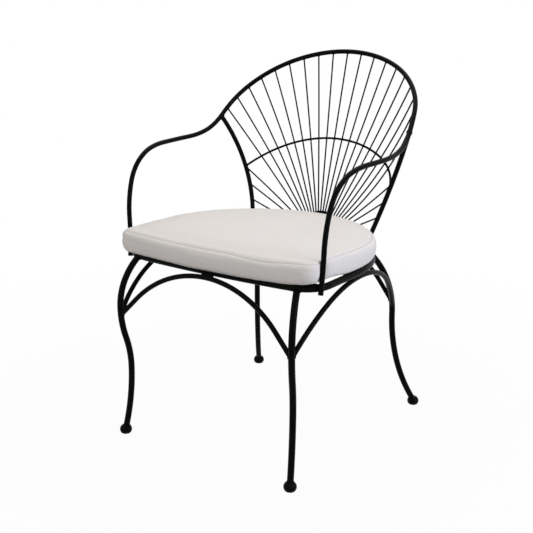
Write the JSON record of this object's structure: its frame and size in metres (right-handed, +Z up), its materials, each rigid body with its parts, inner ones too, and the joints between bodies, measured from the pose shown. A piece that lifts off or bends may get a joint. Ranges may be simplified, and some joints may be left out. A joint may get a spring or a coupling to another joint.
{
  "type": "metal patio armchair",
  "caption": "Black metal patio armchair with a sunburst wire back, arms and crown in one bent rail, curved legs braced by arches and a loose boxed seat cushion.",
  "frame": {"origin": "middle of the overall box, on the floor that the feet stand on", "axes": "+Z up, the chair faces -Y, +X to the right of somebody who looks at its front, mirror plane x = 0"},
  "size_m": [0.5626, 0.5945, 0.8554],
  "materials": {
    "rod": "satin black powder coat",
    "cushion": "matt woven cover"
  },
  "bodies": {
    "frame": {"arch_back": "rod", "arch_front": "rod", "arch_left": "rod", "arch_pad": "rod", "arch_right": "rod", "back_foot_left": "rod", "back_foot_right": "rod", "back_leg_left": "rod", "back_leg_right": "rod", "front_foot_left": "rod", "front_foot_right": "rod", "front_leg_left": "rod", "front_leg_right": "rod", "hub_hoop": "rod", "mid_hoop": "rod", "rail": "rod", "seat_bar_1": "rod", "seat_bar_2": "rod", "seat_bar_3": "rod", "seat_bar_4": "rod", "seat_ring": "rod", "stay_1_left": "rod", "stay_1_right": "rod", "stay_2_left": "rod", "stay_2_right": "rod", "stay_3_left": "rod", "stay_3_right": "rod", "upright_left": "rod", "upright_right": "rod", "wire_1_left": "rod", "wire_1_right": "rod", "wire_2_left": "rod", "wire_2_right": "rod", "wire_3_left": "rod", "wire_3_right": "rod", "wire_4_left": "rod", "wire_4_right": "rod", "wire_5_left": "rod", "wire_5_right": "rod", "wire_6_left": "rod", "wire_6_right": "rod", "wire_7_left": "rod", "wire_7_right": "rod", "wire_8_left": "rod", "wire_8_right": "rod", "wire_9_left": "rod", "wire_9_right": "rod", "wire_middle": "rod"},
    "cushion": {"cushion": "cushion"}
  },
  "joints": [
    {"name": "cushion_lift", "type": "slide", "parent": "frame", "child": "cushion", "axis": [0, 0, 1], "range_m": [0, 0.1]}
  ]
}
